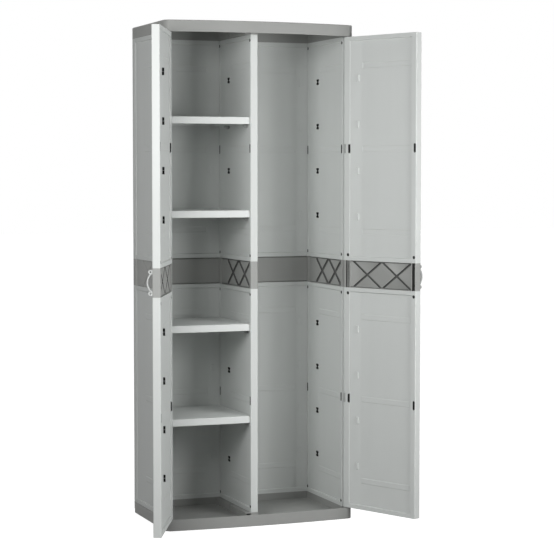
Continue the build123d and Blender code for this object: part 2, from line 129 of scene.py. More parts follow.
# Shelf slots, hoods, border slots and screw seats
slot_first = 155 * mm
slot_pitch = 163 * mm
slot_count = 4
slot_width = 22 * mm
slot_radius = 4.2 * mm
slot_round_share = 0.99
slot_steps = 6
slot_spread = 6 * mm
slot_neck = 11 * mm
slot_deep = 13 * mm
slot_skin = 1.5 * mm
slot_cavity = (26 * mm, 32 * mm)
border_cavity_reach = 42 * mm
border_skin = 1.4 * mm
slot_stile_margin = 12 * mm
wall_slot_inset = 92 * mm
back_slot_inset = 52 * mm
left_door_slot_inset = 108 * mm
right_door_slot_inset = 58 * mm
left_door_lower_lift = 27 * mm
hood_width = 12 * mm
hood_height = 26 * mm
hood_wall = 0.9 * mm
hood_sink = 0.5 * mm
hood_corner = 4 * mm
hood_round = 3 * mm
hood_steps = 5
pocket_wall = 2.8 * mm
pocket_lip = 1.5 * mm
left_door_hood_rise = 8 * mm
right_door_hood_rise = 3 * mm
back_hood_rise = 2.5 * mm
border_slot_width = 9 * mm
border_slot_height = 32 * mm
hinge_border_slot_x = 19 * mm
hinge_notch_radius = 14 * mm
hinge_notch_height = 34 * mm
hinge_notch_sides = 40
hinge_pin_radius = 5 * mm
hinge_pin_sides = 28
screw_inset = 20 * mm
screw_edge = 7 * mm
door_screw_edge = 9 * mm
hinge_screw_edge = 15 * mm
screw_seat_radius = 5.6 * mm
screw_seat_depth = 2.6 * mm
screw_head_radius = 5 * mm
screw_head_height = 2.2 * mm
screw_radius = 1.8 * mm
shank_sides = 16
screw_length = 14 * mm
screw_dome = 1.2 * mm
screw_dome_steps = 3
recess_long = 3 * mm
recess_short = 0.7 * mm
recess_deep = 1.1 * mm

# Bands
band_post = 12 * mm
band_recess = 4 * mm
band_slope = 1 * mm
band_gap = 3 * mm
band_gap_depth = 6 * mm
trellis_rib = 8 * mm
trellis_rise = 1.8 * mm
trellis_under_rise = 1.6 * mm
wall_trellis_groove = 13 * mm
door_trellis_groove = 7.5 * mm
trellis_sink = 5 * mm
trellis_count = 2
trellis_margin = 2 * mm
trellis_rear_gap = 80 * mm
trellis_hinge_gap = 36 * mm
groove_depth = 12 * mm
edge_groove = (3 * mm, 17 * mm)
hinge_grooves = ((6 * mm, 13 * mm), (17.5 * mm, 21.5 * mm))
band_hinge_end = 24 * mm

# Shelves
shelf_overlap = 6.5 * mm
shelf_skirt = 4 * mm
shelf_round = 2 * mm
shelf_round_steps = 3
shelf_corner = 1.2 * mm
shelf_corner_steps = 4
shelf_lead = 9 * mm
shelf_rib = 1.5 * mm
shelf_rib_drop = 8 * mm
shelf_rib_depth = 14 * mm
shelf_bays = 4
clip_width = 12 * mm
clip_height = 12 * mm
clip_reach = 16 * mm
clip_chamfer = 7 * mm
clip_peg_radius = 3.9 * mm
clip_peg_length = 14 * mm
front_peg_inset = 48 * mm

# Handles
handle_span = 72 * mm
handle_rise = 20 * mm
handle_bar = 6 * mm
handle_width = 8 * mm
handle_steps = 80
handle_bar_sides = 16
handle_inset = 11 * mm
ear_radius = 7 * mm
ear_sides = 32
ear_offset = 35 * mm
padlock_hole_radius = 3.2 * mm
handle_screw_offset = 30.5 * mm
handle_screw_grip = 7 * mm

# Worked out from the frame
rightwards = Vector((1, 0, 0))
rearwards = Vector((0, 1, 0))
up = Vector((0, 0, 1))
half_width = (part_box("top_cap")[1][0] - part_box("top_cap")[0][0]) / 2
lid_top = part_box("top_cap")[1][2]
back_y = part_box("top_cap")[1][1]
front_y = back_y - side_depth
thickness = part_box("divider_lower")[1][0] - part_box("divider_lower")[0][0]
half_thickness = thickness / 2
cavity_y = half_thickness - field_recess - slot_skin
wall_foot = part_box("divider_lower")[0][2]
band_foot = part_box("divider_lower")[1][2]
band_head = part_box("divider_upper")[0][2]
wall_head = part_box("divider_upper")[1][2]
band_middle = (band_foot + band_head) / 2
band_height = band_head - band_foot
shelf_nodes = [name for name in frame["nodes"] if name.startswith("shelf_") and name != "shelf_clips"]
slot_levels = [foot + slot_first + slot_pitch * step for foot in (wall_foot, band_head)
               for step in range(slot_count)]
hinge_levels = {"lower": (wall_foot + band_foot) / 2, "upper": (band_head + wall_head) / 2}


@dataclass
class Column:
    """One upright column: its body, its place in the frame, its two edges and where its slots stand."""

    name: str
    body: str
    place: Matrix
    near: float
    far: float
    inner: int
    slot_x: float
    latticed: bool = True
    hood_rise: float = 0
    hood_way: int = 0
    lower_lift: float = 0
    hinged: bool = False

    @property
    def border_start(self):
        return hinge_solid + border_width if self.hinged else self.near + border_width

    @property
    def border_end(self):
        return self.far - (door_edge_border if self.hinged else border_width)

    @property
    def stile_near(self):
        """Whether the stile with the slots is beside the near edge."""
        return self.slot_x < (self.near + self.far) / 2

    @property
    def split(self):
        """Where the stile ends and the field begins."""
        return self.slot_x + slot_stile_margin * (1 if self.stile_near else -1)

    @property
    def ramp_start(self):
        """Where the stile begins to slope down to the field."""
        inset = recess_slope + stile_ledge
        return self.border_start + inset if self.stile_near else self.border_end - inset

    @property
    def slot_depth(self):
        """How far the sloping stile lies under the border at the slots."""
        share = (self.slot_x - self.ramp_start) / (self.split - self.ramp_start)
        return stile_recess + share * (field_recess - stile_recess)

    @property
    def screw_xs(self):
        if self.hinged:
            return [hinge_screw_edge, self.far - door_screw_edge]
        return [self.near + screw_edge, self.far - screw_edge]

    @property
    def border_xs(self):
        near = hinge_border_slot_x if self.hinged else self.near + border_width / 2
        return [near, self.far - border_width / 2]

    def screw_places(self, half, foot, head):
        """Screws of a half panel: at both ends of a wall, at the band end of a door."""
        levels = {"lower": head - screw_inset, "upper": foot + screw_inset}
        ends = [levels[half]] if self.hinged else [foot + screw_inset, head - screw_inset]
        return [(x, level) for x in self.screw_xs for level in ends]


def place_of(origin, along):
    """Matrix that takes a column's own axes into the frame."""
    axes = Matrix((along, up.cross(along), up)).transposed().to_4x4()
    return Matrix.Translation(origin) @ axes


def fixed_column(name, along, inner, slot_inset, latticed=True, hood_rise=0):
    """Column of the carcass, measured on its lower panel."""
    low, high = (Vector(corner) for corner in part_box(f"{name}_lower"))
    middle = (low + high) / 2
    reach = (high - low).dot(along) / 2
    place = place_of((middle.x, middle.y, 0), along)
    return Column(name, "carcass", place, -reach, reach, inner, reach - slot_inset, latticed, hood_rise)


def door_column(name, side):
    """Door, measured outwards from its hinge line. Shut, both have their hoods towards the right."""
    joint = next(joint for joint in frame["joints"] if joint["name"] == f"{name}_hinge")
    swing = Matrix.Rotation(radians(-side * joint["range_deg"][0]), 3, "Z")
    along = swing @ Vector((-side, 0, 0))
    hinge = Vector((joint["pos_m"][0], joint["pos_m"][1], 0))
    panel = frame["nodes"][f"{name}_lower"].data
    reach = max((vertex.co - hinge).dot(along) for vertex in panel.vertices)
    slot_x, rise, lift = right_door_slot_inset, right_door_hood_rise, 0
    if side < 0:
        slot_x, rise, lift = reach - left_door_slot_inset, left_door_hood_rise, left_door_lower_lift
    return Column(name, name, place_of(hinge, along), -half_thickness, reach, -side, slot_x,
                  hood_rise=rise, hood_way=-side, lower_lift=lift, hinged=True)


left_wall = fixed_column("left_wall", rearwards, -1, wall_slot_inset)
right_wall = fixed_column("right_wall", rearwards, 1, wall_slot_inset)
divider = fixed_column("divider", rearwards, 1, wall_slot_inset)
backs = [fixed_column(name, rightwards, -1, back_slot_inset, latticed=False, hood_rise=back_hood_rise)
         for name in ("back_left", "back_right")]
left_door = door_column("left_door", -1)
right_door = door_column("right_door", 1)
walls = [left_wall, right_wall, divider]
fixed_columns = walls + backs
doors = [left_door, right_door]


# Modelling by hand

def choose(piece):
    """Makes one piece the only selected and active one."""
    bpy.ops.object.select_all(action="DESELECT")
    piece.select_set(True)
    bpy.context.view_layer.objects.active = piece


def add_block(name, low, high):
    """Adds a block between two corners, as the start of a piece.

    Corners swapped along one axis turn it inside out: it can then be joined to a piece, but cuts nothing.
    """
    low, high = Vector(low), Vector(high)
    bpy.ops.object.select_all(action="DESELECT")
    bpy.ops.mesh.primitive_cube_add(size=1, location=(low + high) / 2)
    piece = bpy.context.object
    piece.name = name
    piece.scale = high - low
    bpy.ops.object.transform_apply(location=True, rotation=True, scale=True)
    return piece


def add_rod(name, radius, start, end, sides=rod_sides):
    """Adds a round rod from one point to another, as the start of a piece."""
    start, end = Vector(start), Vector(end)
    bpy.ops.object.select_all(action="DESELECT")
    bpy.ops.mesh.primitive_cylinder_add(vertices=sides, radius=radius, depth=(end - start).length,
                                        location=(start + end) / 2,
                                        rotation=(end - start).to_track_quat("Z", "Y").to_euler())
    piece = bpy.context.object
    piece.name = name
    bpy.ops.object.transform_apply(location=True, rotation=True, scale=True)
    return piece


def copy_of(template, shift, place=Matrix()):
    """Copy of a piece with its own mesh, moved, and then put in a place."""
    piece = template.copy()
    piece.data = template.data.copy()
    piece.data.transform(place @ Matrix.Translation(shift))
    bpy.context.collection.objects.link(piece)
    return piece


def joined(pieces):
    """Joins several pieces into the first of them."""
    choose(pieces[0])
    for piece in pieces:
        piece.select_set(True)
    bpy.ops.object.join()
    return pieces[0]


def discard(piece):
    bpy.data.objects.remove(piece, do_unlink=True)


@contextmanager
def editing(piece):
    """Edit mode on one piece, with nothing selected at first."""
    choose(piece)
    bpy.ops.object.mode_set(mode="EDIT")
    bpy.ops.mesh.select_all(action="DESELECT")
    yield
    bpy.ops.object.mode_set(mode="OBJECT")


def pick(kind, test):
    """Selects the faces, edges or vertices that pass a test on their middle and direction."""
    bpy.ops.mesh.select_mode(type=kind)
    bpy.ops.mesh.select_all(action="DESELECT")
    mesh = bmesh.from_edit_mesh(bpy.context.edit_object.data)
    if kind == "FACE":
        found = [face for face in mesh.faces if test(face.calc_center_median(), face.normal)]
    elif kind == "EDGE":
        ends = {edge: [vertex.co for vertex in edge.verts] for edge in mesh.edges}
        found = [edge for edge, (a, b) in ends.items() if test((a + b) / 2, (b - a).normalized())]
    else:
        found = [vertex for vertex in mesh.verts if test(vertex.co, vertex.normal)]
    for element in found:
        element.select_set(True)
    mesh.select_flush_mode()
    bmesh.update_edit_mesh(bpy.context.edit_object.data)


def cut(place, normal, **trim):
    """Cuts along a plane through what is selected."""
    bpy.ops.mesh.bisect(plane_co=place, plane_no=normal, **trim)


def cut_all(axis, places):
    """Cuts right through a piece at several places along an axis."""
    normal = Vector((0, 0, 0))
    normal[axis] = 1
    for place in places:
        bpy.ops.mesh.select_all(action="SELECT")
        cut(normal * place, normal)


def sink(amount, slope):
    """Insets the selected faces and moves them in, or out where the amount is negative."""
    bpy.ops.mesh.inset(thickness=slope, depth=-amount, use_even_offset=True)


def push(shift):
    """Extrudes the selected faces along a shift."""
    bpy.ops.mesh.extrude_region_move(TRANSFORM_OT_translate={"value": shift})


def move(shift):
    bpy.ops.transform.translate(value=shift)


def round_edges(test, radius, segments):
    """Rounds the edges that pass a test."""
    pick("EDGE", test)
    bpy.ops.mesh.bevel(offset=radius, offset_type="OFFSET", segments=segments, clamp_overlap=False)


def finish_modifier(piece, modifier):
    choose(piece)
    bpy.ops.object.modifier_apply(modifier=modifier.name)


def carve(piece, tool, operation="DIFFERENCE", finish=None):
    """Cuts a tool out of a piece, or joins the two, and removes the tool. A finish given, the painted shade
    of hollows and grooves, is left on the cut.
    """
    change = piece.modifiers.new("carve", "BOOLEAN")
    if finish:
        tool.data.materials.append(finish)
        change.material_mode = "TRANSFER"
    change.operation = operation
    change.solver = "EXACT"
    change.object = tool
    finish_modifier(piece, change)
    discard(tool)


def soften(piece, width=edge_soft, clamped=True):
    """Rounds every sharp edge a little and shades the piece smooth, with its flats kept flat."""
    bevel = piece.modifiers.new("soft edges", "BEVEL")
    bevel.width = width
    bevel.segments = soft_steps
    bevel.limit_method = "ANGLE"
    bevel.angle_limit = sharp_angle
    bevel.use_clamp_overlap = clamped
    finish_modifier(piece, bevel)
    bpy.ops.object.shade_smooth_by_angle(angle=smooth_angle)
    flats = piece.modifiers.new("flat faces", "WEIGHTED_NORMAL")
    flats.keep_sharp = True
    finish_modifier(piece, flats)


def hand_over(piece, body, nodes, finish, place=Matrix()):
    """Puts a finished piece in its place, on its body, in the stead of CAD nodes."""
    piece.data.transform(place)
    if not piece.data.materials:
        piece.data.materials.append(finish)
    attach(piece, body)
    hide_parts(*nodes)


# Finishes

cool = (0.97, 1.0, 0.98)
plain = (0.985, 1.0, 0.968)
drift_scale = 4.0
streak_scale = (26.0, 26.0, 1.4)
warp_scale = (9.0, 9.0, 1.6)
grain_scale = 1400.0
drift_share = 0.55
streak_share = 0.3
grain_share = 0.15
mean_noise = 0.5
drift_roughness = 0.12
grain_roughness = 0.1
rub_scale = 700.0
rub_brightness = 3.0
rub_relief = 0.05 * mm
rub_gloss = 0.2
coat_roughness = 0.7
coat_sheen = 0.25


class Value:
    """One output of a shader node. Arithmetic with it adds Math nodes to the same finish."""

    def __init__(self, recipe, socket):
        self.recipe = recipe
        self.socket = socket

    def _math(self, operation, first, second):
        return self.recipe.node("ShaderNodeMath", {"operation": operation}, {0: first, 1: second})

    def __add__(self, other):
        return self._math("ADD", self, other)

    def __sub__(self, other):
        return self._math("SUBTRACT", self, other)

    def __rsub__(self, other):
        return self._math("SUBTRACT", other, self)

    def __mul__(self, other):
        return self._math("MULTIPLY", self, other)

    __radd__ = __add__
    __rmul__ = __mul__


class Recipe:
    """The nodes of one finish, or of the world."""

    def __init__(self, tree):
        self.tree = tree

    def node(self, kind, settings=None, sockets=None, output=0):
        made = self.tree.nodes.new(kind)
        for key, value in (settings or {}).items():
            setattr(made, key, value)
        for key, value in (sockets or {}).items():
            self.feed(made.inputs[key], value)
        return Value(self, made.outputs[output])

    def feed(self, socket, value):
        if isinstance(value, Value):
            self.tree.links.new(value.socket, socket)
        else:
            socket.default_value = value

    def noise(self, place, scale, detail=2.0):
        return self.node("ShaderNodeTexNoise", None,
                         {"Vector": place, "Scale": scale, "Detail": detail}, "Fac")

    def stretched(self, place, scale):
        return self.node("ShaderNodeMapping", None, {"Vector": place, "Scale": scale})

    def blend(self, share, first, second):
        """Mix of two colours."""
        return self.node("ShaderNodeMix", {"data_type": "RGBA"}, {0: share, 6: first, 7: second}, 2)

    def relief(self, height, depth, under=None):
        """Bump of a height, over another one where it is given."""
        sockets = {"Height": height, "Distance": depth, "Strength": 1.0}
        if under:
            sockets["Normal"] = under
        return self.node("ShaderNodeBump", None, sockets)


def grey(level, tint=(1.0, 1.0, 1.0), scale=1.0):
    return (*(level * scale * part for part in tint), 1.0)


def new_finish(name):
    """A new material with its recipe, its shader and the place on the object that patterns read."""
    material = bpy.data.materials.new(name)
    material.use_nodes = True
    recipe = Recipe(material.node_tree)
    place = recipe.node("ShaderNodeTexCoord", output="Object")
    return material, recipe, material.node_tree.nodes["Principled BSDF"], place


def moulded_plastic(name, level, tint, mottle=0.05, roughness=0.55, sheen=0.06, warp_depth=0.0,
                    grain_depth=0.05 * mm):
    """Moulded plastic: pigment that drifts, upright flow streaks, a fine grain and slight warping."""
    material, recipe, shader, place = new_finish(name)
    drift = recipe.noise(place, drift_scale, detail=3.0)
    streak = recipe.noise(recipe.stretched(place, streak_scale), 1.0)
    warp = recipe.noise(recipe.stretched(place, warp_scale), 1.0, detail=1.0)
    grain = recipe.noise(place, grain_scale)
    share = drift * drift_share + streak * streak_share + grain * grain_share
    colour = recipe.blend(share, grey(level, tint, 1 - mottle), grey(level, tint, 1 + mottle))
    recipe.feed(shader.inputs["Base Color"], colour)
    unevenness = (drift - mean_noise) * drift_roughness
    recipe.feed(shader.inputs["Roughness"], roughness + unevenness + (grain - mean_noise) * grain_roughness)
    shader.inputs["Specular IOR Level"].default_value = sheen
    bulge = recipe.relief(warp, warp_depth)
    recipe.feed(shader.inputs["Normal"], recipe.relief(grain, grain_depth, bulge))
    return material


def coated_steel(name, level):
    """Black-coated steel of the screws, rubbed a little paler here and there."""
    material, recipe, shader, place = new_finish(name)
    rub = recipe.noise(place, rub_scale, detail=4.0)
    colour = recipe.blend(rub, grey(level), grey(level, scale=rub_brightness))
    recipe.feed(shader.inputs["Base Color"], colour)
    recipe.feed(shader.inputs["Roughness"], coat_roughness - rub * rub_gloss)
    shader.inputs["Specular IOR Level"].default_value = coat_sheen
    recipe.feed(shader.inputs["Normal"], recipe.relief(rub, rub_relief))
    return material


pale_plastic = moulded_plastic("pale_moulded_plastic", level=0.64, tint=cool, warp_depth=2.0 * mm)
shelf_plastic = moulded_plastic("shelf_plastic", level=0.72, tint=cool, warp_depth=1.5 * mm,
                                grain_depth=0.06 * mm)
band_plastic = moulded_plastic("dark_band_plastic", level=0.34, tint=plain, mottle=0.07, roughness=0.5,
                               sheen=0.1, warp_depth=1.0 * mm)
cap_plastic = moulded_plastic("lid_and_base_plastic", level=0.32, tint=plain, mottle=0.07, roughness=0.5,
                              sheen=0.1, warp_depth=1.5 * mm, grain_depth=0.06 * mm)
handle_plastic = moulded_plastic("handle_plastic", level=0.58, tint=cool, roughness=0.34, sheen=0.4,
                                 grain_depth=0.03 * mm)
fitting_plastic = moulded_plastic("fitting_plastic", level=0.42, tint=cool, roughness=0.4, sheen=0.3,
                                  grain_depth=0.03 * mm)
# Nearly black finish painted on the walls of hollows, slots, pockets and screw seats: painted shade for the
# dark inside deep recesses.
hollow_painted_shade = moulded_plastic("hollow_painted_shade_plastic", level=0.05, tint=plain, mottle=0.2,
                                 roughness=0.6, sheen=0.05)
# Dark finish painted in the bands' trellis and upright grooves: painted shade for the dark of the grooves.
groove_painted_shade = moulded_plastic("groove_painted_shade_plastic", level=0.12, tint=plain, mottle=0.15,
                                 roughness=0.6, sheen=0.05)
screw_coat = coated_steel("black_screw_coat", level=0.012)


# Cutting tools that repeat

def slot_tool():
    """Two round-ended holes and the neck between them, as one tool through the front skin."""
    tool = add_block("slot_tool", (-slot_neck / 2, -slot_deep, -slot_spread),
                     (slot_neck / 2, slot_deep, slot_spread))
    for level in (-slot_spread, slot_spread):
        hole = add_block("hole", (-slot_width / 2, -slot_deep, level - slot_radius),
                         (slot_width / 2, slot_deep, level + slot_radius))
        with editing(hole):
            round_edges(lambda middle, way: abs(way.y) > mostly, slot_radius * slot_round_share, slot_steps)
        carve(tool, hole, "UNION")
    return tool


def cavity(start, end, level):
    """Hollow of a panel behind the skin round a slot, which keeps the slot dark by its depth; its faces are
    given painted shade where it is carved.
    """
    low_x, high_x = sorted((start, end))
    reach = slot_cavity[1]
    return add_block("cavity", (low_x, -cavity_y, level - reach), (high_x, cavity_y, level + reach))


def border_cavity(column, x, level):
    """Hollow behind a border slot: close under the border's skin, and from there in under the recess."""
    half = border_slot_width / 2
    if x < (column.near + column.far) / 2:
        way = 1
        inner = max(x + half, column.border_start - border_skin)
    else:
        way = -1
        inner = min(x - half, column.border_end + border_skin)
    outer = x - way * half
    low_x, high_x = sorted((outer, inner))
    low_y, high_y = sorted((0, column.inner * (half_thickness - border_skin)))
    reach = border_slot_height / 2 + border_skin
    hollow = cavity(outer, x + way * border_cavity_reach, level)
    throat = add_block("throat", (low_x, low_y, level - reach), (high_x, high_y, level + reach))
    carve(hollow, throat, "UNION")
    return hollow


def border_slot_tool():
    """Upright round-ended slot in a border."""
    half = border_slot_width / 2
    tool = add_block("border_slot_tool", (-half, -slot_deep, -border_slot_height / 2),
                     (half, slot_deep, border_slot_height / 2))
    with editing(tool):
        round_edges(lambda middle, way: abs(way.y) > mostly, half, slot_steps)
    return tool


def screw_seat_tool():
    """Counterbore for a screw's head."""
    reach = rearwards * screw_seat_depth
    return add_rod("screw_seat_tool", screw_seat_radius, -reach, reach)


def hinge_notch_tool():
    """Ring cut round the hinge pin of a door."""
    reach = up * hinge_notch_height / 2
    tool = add_rod("hinge_notch_tool", hinge_notch_radius, -reach, reach, hinge_notch_sides)
    carve(tool, add_rod("pin", hinge_pin_radius, -2 * reach, 2 * reach, hinge_pin_sides))
    return tool


tools = {"slot": slot_tool(), "border_slot": border_slot_tool(), "screw_seat": screw_seat_tool(),
         "hinge_notch": hinge_notch_tool()}


def hood(column, level):
    """Boss on a stile, rounded over on the shut side where it is a door's scoop."""
    foot = column.inner * (half_thickness - field_recess - hood_sink)
    roof = column.inner * (half_thickness - column.slot_depth + column.hood_rise)
    low_x, high_x = column.slot_x - hood_width / 2, column.slot_x + hood_width / 2
    low_z, high_z = level - hood_height / 2, level + hood_height / 2
    piece = add_block("hood", (low_x, foot, low_z), (high_x, roof, high_z))
    shut_x = column.slot_x - column.hood_way * hood_width / 2
    with editing(piece):
        round_edges(lambda middle, way: abs(way.y) > mostly, hood_corner, hood_steps)
        if column.hood_way:
            round_edges(lambda middle, way: abs(middle.y - roof) < near_enough
                        and abs(middle.x - shut_x) < hood_width / 2, hood_round, hood_steps)
    return piece


def hood_pockets(column, level):
    """Two pockets of a door's scoop, open to one side and sunk into the panel, dark from their depth and
    from the shade painted on their walls where they are cut.
    """
    floor = column.inner * (cavity_y - overlap)
    roof = column.inner * (half_thickness - column.slot_depth + column.hood_rise - hood_wall)
    shut_x = column.slot_x - column.hood_way * (hood_width / 2 - pocket_wall)
    open_x = column.slot_x + column.hood_way * (hood_width / 2 + pocket_lip)
    ends = [sorted((level + side * hood_wall / 2, level + side * (hood_height / 2 - hood_wall)))
            for side in (-1, 1)]
    return [add_block("pocket", (shut_x, floor, foot), (open_x, roof, head)) for foot, head in ends]


# Half panels

def round_column_edges(column):
    """Rounds a column's upright edges: half-round at a hinge, a small radius elsewhere."""
    def at_edge(x):
        return lambda middle, way: (abs(way.z) > mostly and abs(middle.x - x) < near_enough
                                    and abs(abs(middle.y) - half_thickness) < near_enough)
    round_edges(at_edge(column.far), edge_round, edge_steps)
    if column.hinged:
        round_edges(at_edge(column.near), half_thickness * hinge_edge_share, hinge_edge_steps)
    else:
        round_edges(at_edge(column.near), edge_round, edge_steps)


def within(value, low, high):
    return low < value < high


def panel_blank(column, half, foot, head):
    """Half panel with its relief on both faces: raised borders, sloping stile, sunk field with swages."""
    start, end, split = column.border_start, column.border_end, column.split
    field_start, field_end = (split, end) if column.stile_near else (start, split)
    swage_start, swage_end = field_start + swage_margin, field_end - swage_margin
    middle = (foot + head) / 2
    swages = [middle + swage_spread * (step - (swage_count - 1) / 2) for step in range(swage_count)]
    border_foot, border_head = foot + border_width, head - border_width
    piece = add_block(f"{column.name}_{half}_moulding", (column.near, -half_thickness, foot),
                      (column.far, half_thickness, head))
    piece.data.materials.append(pale_plastic)
    with editing(piece):
        cut_all(0, [start, end, split, swage_start, swage_end])
        cut_all(2, [border_foot, border_head])
        cut_all(2, [swage + reach for swage in swages for reach in (-swage_height / 2, swage_height / 2)])
        round_column_edges(column)
        for side in (1, -1):
            def faces(x_low, x_high, z_low, z_high):
                pick("FACE", lambda place, normal: normal.y * side > mostly
                     and within(place.x, x_low, x_high) and within(place.z, z_low, z_high))
            faces(start, end, border_foot, border_head)
            sink(stile_recess, recess_slope)
            faces(field_start, field_end, border_foot, border_head)
            sink(field_recess - stile_recess, recess_slope)
            stile_y = side * (half_thickness - stile_recess)
            pick("VERT", lambda place, normal: abs(place.y - stile_y) < near_enough
                 and abs(place.x - split) < near_enough)
            move((column.ramp_start - split, 0, 0))
            sunk = half == "upper" and side == column.inner
            for swage in swages:
                faces(swage_start, swage_end, swage - swage_height / 2, swage + swage_height / 2)
                depth, slope = swage_inside if side == column.inner else swage_outside
                sink(depth if sunk else -depth, slope)
    return piece


def half_panel(column, half):
    """One half panel: its blank, then hoods, hollows behind the slots, slots, pockets and screw seats."""
    node = f"{column.name}_{half}"
    low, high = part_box(node)
    foot, head = low[2], high[2]
    lift = column.lower_lift if half == "lower" else 0
    levels = [level + lift for level in slot_levels if foot < level < head]
    skin_y = column.inner * half_thickness
    piece = panel_blank(column, half, foot, head)
    if column.hood_rise:
        carve(piece, joined([hood(column, level) for level in levels]), "UNION")
    cavities = [border_cavity(column, x, hinge_levels[half]) for x in column.border_xs]
    if column.hood_way or not column.hood_rise:
        cavities += [cavity(column.slot_x - slot_cavity[0], column.slot_x + slot_cavity[0], level)
                     for level in levels]
    # The hollows' cut faces take the painted shade finish.
    carve(piece, joined(cavities), finish=hollow_painted_shade)
    cuts = [copy_of(tools["border_slot"], (x, skin_y, hinge_levels[half])) for x in column.border_xs]
    if column.hood_way:
        cuts += [pocket for level in levels for pocket in hood_pockets(column, level)]
    if not column.hood_rise:
        cuts += [copy_of(tools["slot"], (column.slot_x, skin_y, level)) for level in levels]
    cuts += [copy_of(tools["screw_seat"], (x, skin_y, level))
             for x, level in column.screw_places(half, foot, head)]
    # Slots, pockets, border slots and screw seats take the painted shade finish on their walls.
    carve(piece, joined(cuts), finish=hollow_painted_shade)
    if column.hinged:
        carve(piece, copy_of(tools["hinge_notch"], (0, 0, hinge_levels[half])))
    soften(piece, panel_edge_soft, clamped=False)
    hand_over(piece, column.body, [node], pale_plastic, column.place)


# Bands

def trellis_bars(start, end, face_y, tilt, width, depth, overrun):
    """Parallel diagonal bars across the face of a band, clipped to it."""
    period = (end - start) / trellis_count
    reach = hypot(period, band_height) / 2 + width
    foot, head = band_foot - overrun, band_head + overrun
    left, right = start + trellis_margin, end - trellis_margin
    bars = []
    for step in range(trellis_count):
        bar = add_block("bar", (-reach, -depth, -width / 2), (reach, depth, width / 2))
        with editing(bar):
            bpy.ops.mesh.select_all(action="SELECT")
            bpy.ops.transform.rotate(value=tilt, orient_axis="Y", center_override=(0, 0, 0))
            move((start + (step + 0.5) * period, face_y, band_middle))
            for edge, outwards in (((left, 0, 0), (-1, 0, 0)), ((right, 0, 0), (1, 0, 0)),
                                   ((0, 0, foot), (0, 0, -1)), ((0, 0, head), (0, 0, 1))):
                bpy.ops.mesh.select_all(action="SELECT")
                cut(edge, outwards, use_fill=True, clear_outer=True)
        bars.append(bar)
    return joined(bars)


def band(column):
    """Dark band: flush ends, sunk faces, a trellis cut inside and raised outside.

    Upright grooves come out on the right door alone: the left door's tools are inside out.
    """
    node = f"{column.name}_band"
    grooves, ribs = [], []
    start, end = column.near + band_post, column.far - band_post
    span = (start + band_slope, column.far - trellis_rear_gap)
    if column.hinged:
        grooves = [*hinge_grooves, (column.far - edge_groove[1], column.far - edge_groove[0])]
        start, end = band_hinge_end, column.far - door_edge_border
        span = (trellis_hinge_gap, end - band_slope)
    tilt = atan2(band_height, (span[1] - span[0]) / trellis_count)
    piece = add_block(f"{node}_moulding", (column.near, -half_thickness, band_foot),
                      (column.far, half_thickness, band_head))
    piece.data.materials.append(band_plastic)
    with editing(piece):
        cut_all(0, [start, start + band_slope, end - band_slope, end])
        cut_all(2, [gap + reach for gap, way in ((band_foot, 1), (band_head, -1))
                    for reach in (way * band_gap, way * (band_gap + band_slope))])
        round_column_edges(column)
        for side in (1, -1):
            pick("FACE", lambda place, normal: normal.y * side > mostly
                 and within(place.x, start + band_slope, end - band_slope))
            move((0, -side * band_recess, 0))
        pick("FACE", lambda place, normal: normal.y * column.inner > mostly
             and within(place.x, start + band_slope, end - band_slope)
             and abs(place.z - band_middle) > band_height / 2 - band_gap)
        move((0, -column.inner * band_gap_depth, 0))
    if column.latticed:
        face = column.inner * (half_thickness - band_recess)
        line_width = door_trellis_groove if column.hinged else wall_trellis_groove
        for turn, rise in ((tilt, trellis_rise), (-tilt, trellis_under_rise)):
            lines = trellis_bars(*span, face, turn, line_width, trellis_sink, -band_gap / 2)
            # The trellis grooves take the painted shade finish.
            carve(piece, lines, finish=groove_painted_shade)
            rib = trellis_bars(*span, -face, turn, trellis_rib, rise, -overlap)
            rib.data.materials.append(band_plastic)
            soften(rib)
            ribs.append(rib)
    for low_x, high_x in grooves:
        groove = add_block("groove", (low_x, column.inner * thickness, band_foot - overlap),
                           (high_x, column.inner * (half_thickness - groove_depth), band_head + overlap))
        # The upright grooves take the painted shade finish.
        carve(piece, groove, finish=groove_painted_shade)
    soften(piece)
    hand_over(joined([piece, *ribs]), column.body, [node], band_plastic, column.place)


# Shelves and their clips

def rib_underside(level, facing, x_places, y_places, rib, depth):
    """Cuts the faces at a level into bays and pushes the bays in, which leaves ribs between them."""
    def bays():
        pick("FACE", lambda place, normal: normal.z * facing > mostly
             and abs(place.z - level) < near_enough)
    for places, normal in ((x_places, rightwards), (y_places, rearwards)):
        for place in places:
            bays()
            cut(normal * place, normal)
    bays()
    bpy.ops.mesh.inset(thickness=rib / 2, depth=0, use_individual=True, use_even_offset=True)
    push((0, 0, -facing * depth))


def shared_out(low, high, bays):
    """Places of the cuts that part a length into equal bays."""
    return [low + (high - low) * step / bays for step in range(1, bays)]


def shelf(node):
    """Skirted shelf with a rounded rim and ribs underneath, its front corners in the walls' recesses."""
    low, high = (Vector(corner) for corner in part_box(node))
    piece = add_block(f"{node}_moulding", low, high)
    with editing(piece):
        for end, way in ((low.x, -1), (high.x, 1)):
            pick("VERT", lambda place, normal: place.y < low.y + near_enough
                 and abs(place.x - end) < near_enough)
            move((way * shelf_overlap, -shelf_lead, 0))
        round_edges(lambda middle, way: abs(way.z) > mostly, shelf_corner, shelf_corner_steps)
        round_edges(lambda middle, way: middle.z > high.z - near_enough, shelf_round, shelf_round_steps)
        pick("FACE", lambda place, normal: normal.z < -mostly)
        sink(0, shelf_skirt)
        push((0, 0, shelf_rib_drop))
        rib_underside(low.z + shelf_rib_drop, -1, shared_out(low.x, high.x, shelf_bays),
                      shared_out(low.y, high.y, shelf_bays), shelf_rib, shelf_rib_depth)
    soften(piece, edge_soft / 2)
    hand_over(piece, "carcass", [node], shelf_plastic)


